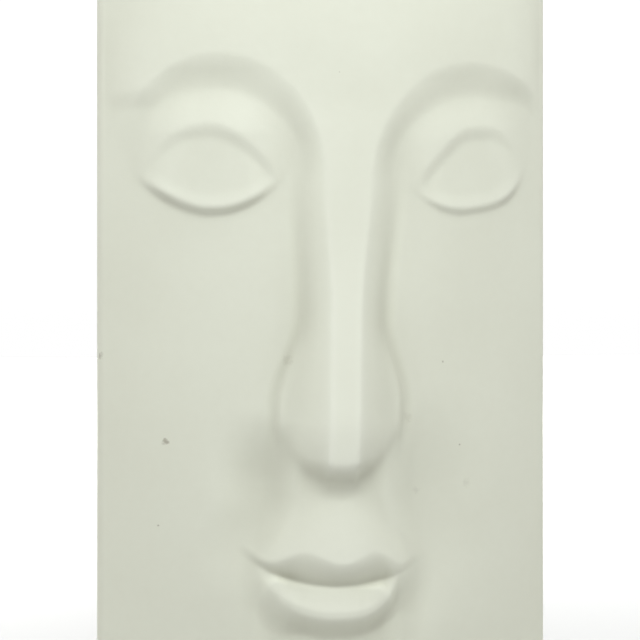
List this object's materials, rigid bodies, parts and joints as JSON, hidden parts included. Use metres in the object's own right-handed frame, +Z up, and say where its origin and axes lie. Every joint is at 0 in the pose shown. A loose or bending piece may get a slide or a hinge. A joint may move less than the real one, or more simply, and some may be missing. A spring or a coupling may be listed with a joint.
{
  "type": "vase",
  "caption": "Tall slab-built column vase of matte white stoneware, bowed front and back, flat sides, open top and a calm stylised face in relief on the front.",
  "frame": {"origin": "centre of the flat underside, between the crowns of the front and back walls", "axes": "+Z up along the height, -Y the side with the face, +X to the viewer's right when the face is seen from the front"},
  "size_m": [0.12, 0.1121, 0.28],
  "materials": {
    "stoneware": "matte",
    "liner_glaze": "gloss"
  },
  "bodies": {
    "root": {"base_slab": "stoneware", "front_slab": "stoneware", "back_slab": "stoneware", "right_slab": "stoneware", "left_slab": "stoneware", "corner_coil_front_right": "liner_glaze", "corner_coil_front_left": "liner_glaze", "corner_coil_back_right": "liner_glaze", "corner_coil_back_left": "liner_glaze", "floor_coil_front": "liner_glaze", "floor_coil_back": "liner_glaze", "floor_coil_right": "liner_glaze", "floor_coil_left": "liner_glaze"}
  },
  "joints": []
}
